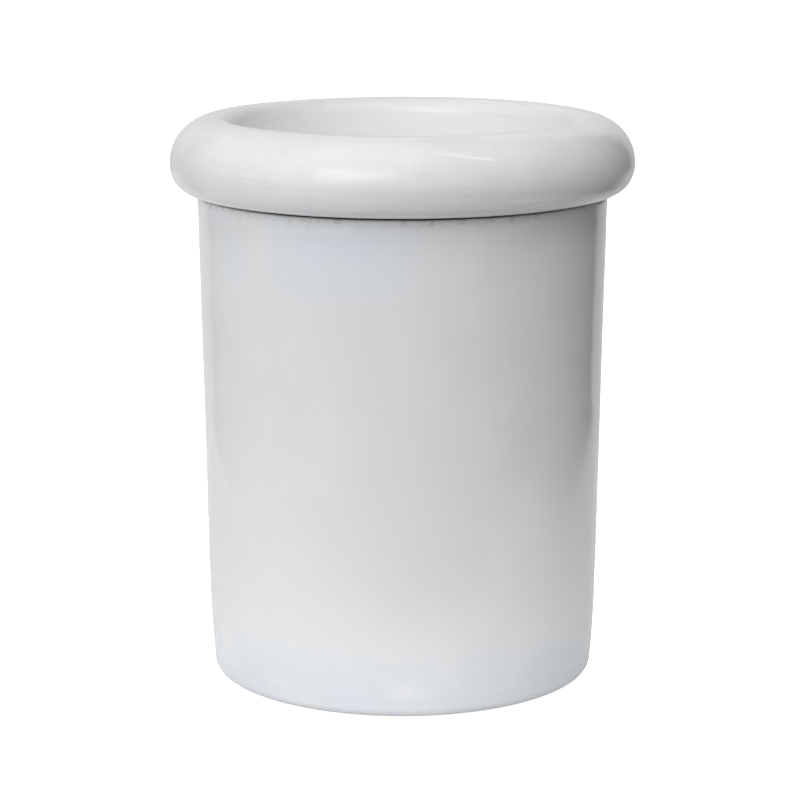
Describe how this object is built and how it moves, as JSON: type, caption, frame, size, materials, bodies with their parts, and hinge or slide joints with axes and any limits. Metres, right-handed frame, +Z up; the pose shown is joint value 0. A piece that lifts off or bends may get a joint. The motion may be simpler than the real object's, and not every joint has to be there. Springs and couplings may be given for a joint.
{
  "type": "fermenting crock",
  "caption": "Round white-glazed stoneware fermenting crock, open at the top, with a fat rolled collar that lifts off its lip and half-moon weights lying inside on its floor.",
  "frame": {"origin": "centre of the crock's foot, on the surface that it stands on", "axes": "+Z up along the crock's axis; +X to the right and +Y to the back, with the weights' straight edges along Y"},
  "size_m": [0.2264, 0.2264, 0.2755],
  "materials": {
    "crock_glaze": "glossy cool white glaze, mottled and slightly greyer where it broke below the lip",
    "collar_glaze": "glossy warm white glaze with faint unevenness",
    "gasket_silicone": "matt dark grey silicone",
    "weight_stoneware": "satin glazed stoneware with fine specks"
  },
  "bodies": {
    "crock": {"crock_body": "crock_glaze"},
    "collar": {"rim_collar": "collar_glaze", "seat_gasket": "gasket_silicone"},
    "weight_left": {"weight_left": "weight_stoneware"},
    "weight_right": {"weight_right": "weight_stoneware"}
  },
  "joints": [
    {"name": "collar_lift", "type": "slide", "parent": "crock", "child": "collar", "axis": [0, 0, 1], "range_m": [0, 0.15]},
    {"name": "weight_left_lift", "type": "slide", "parent": "crock", "child": "weight_left", "axis": [0, 0, 1], "range_m": [0, 0.3]},
    {"name": "weight_right_lift", "type": "slide", "parent": "crock", "child": "weight_right", "axis": [0, 0, 1], "range_m": [0, 0.3]}
  ]
}
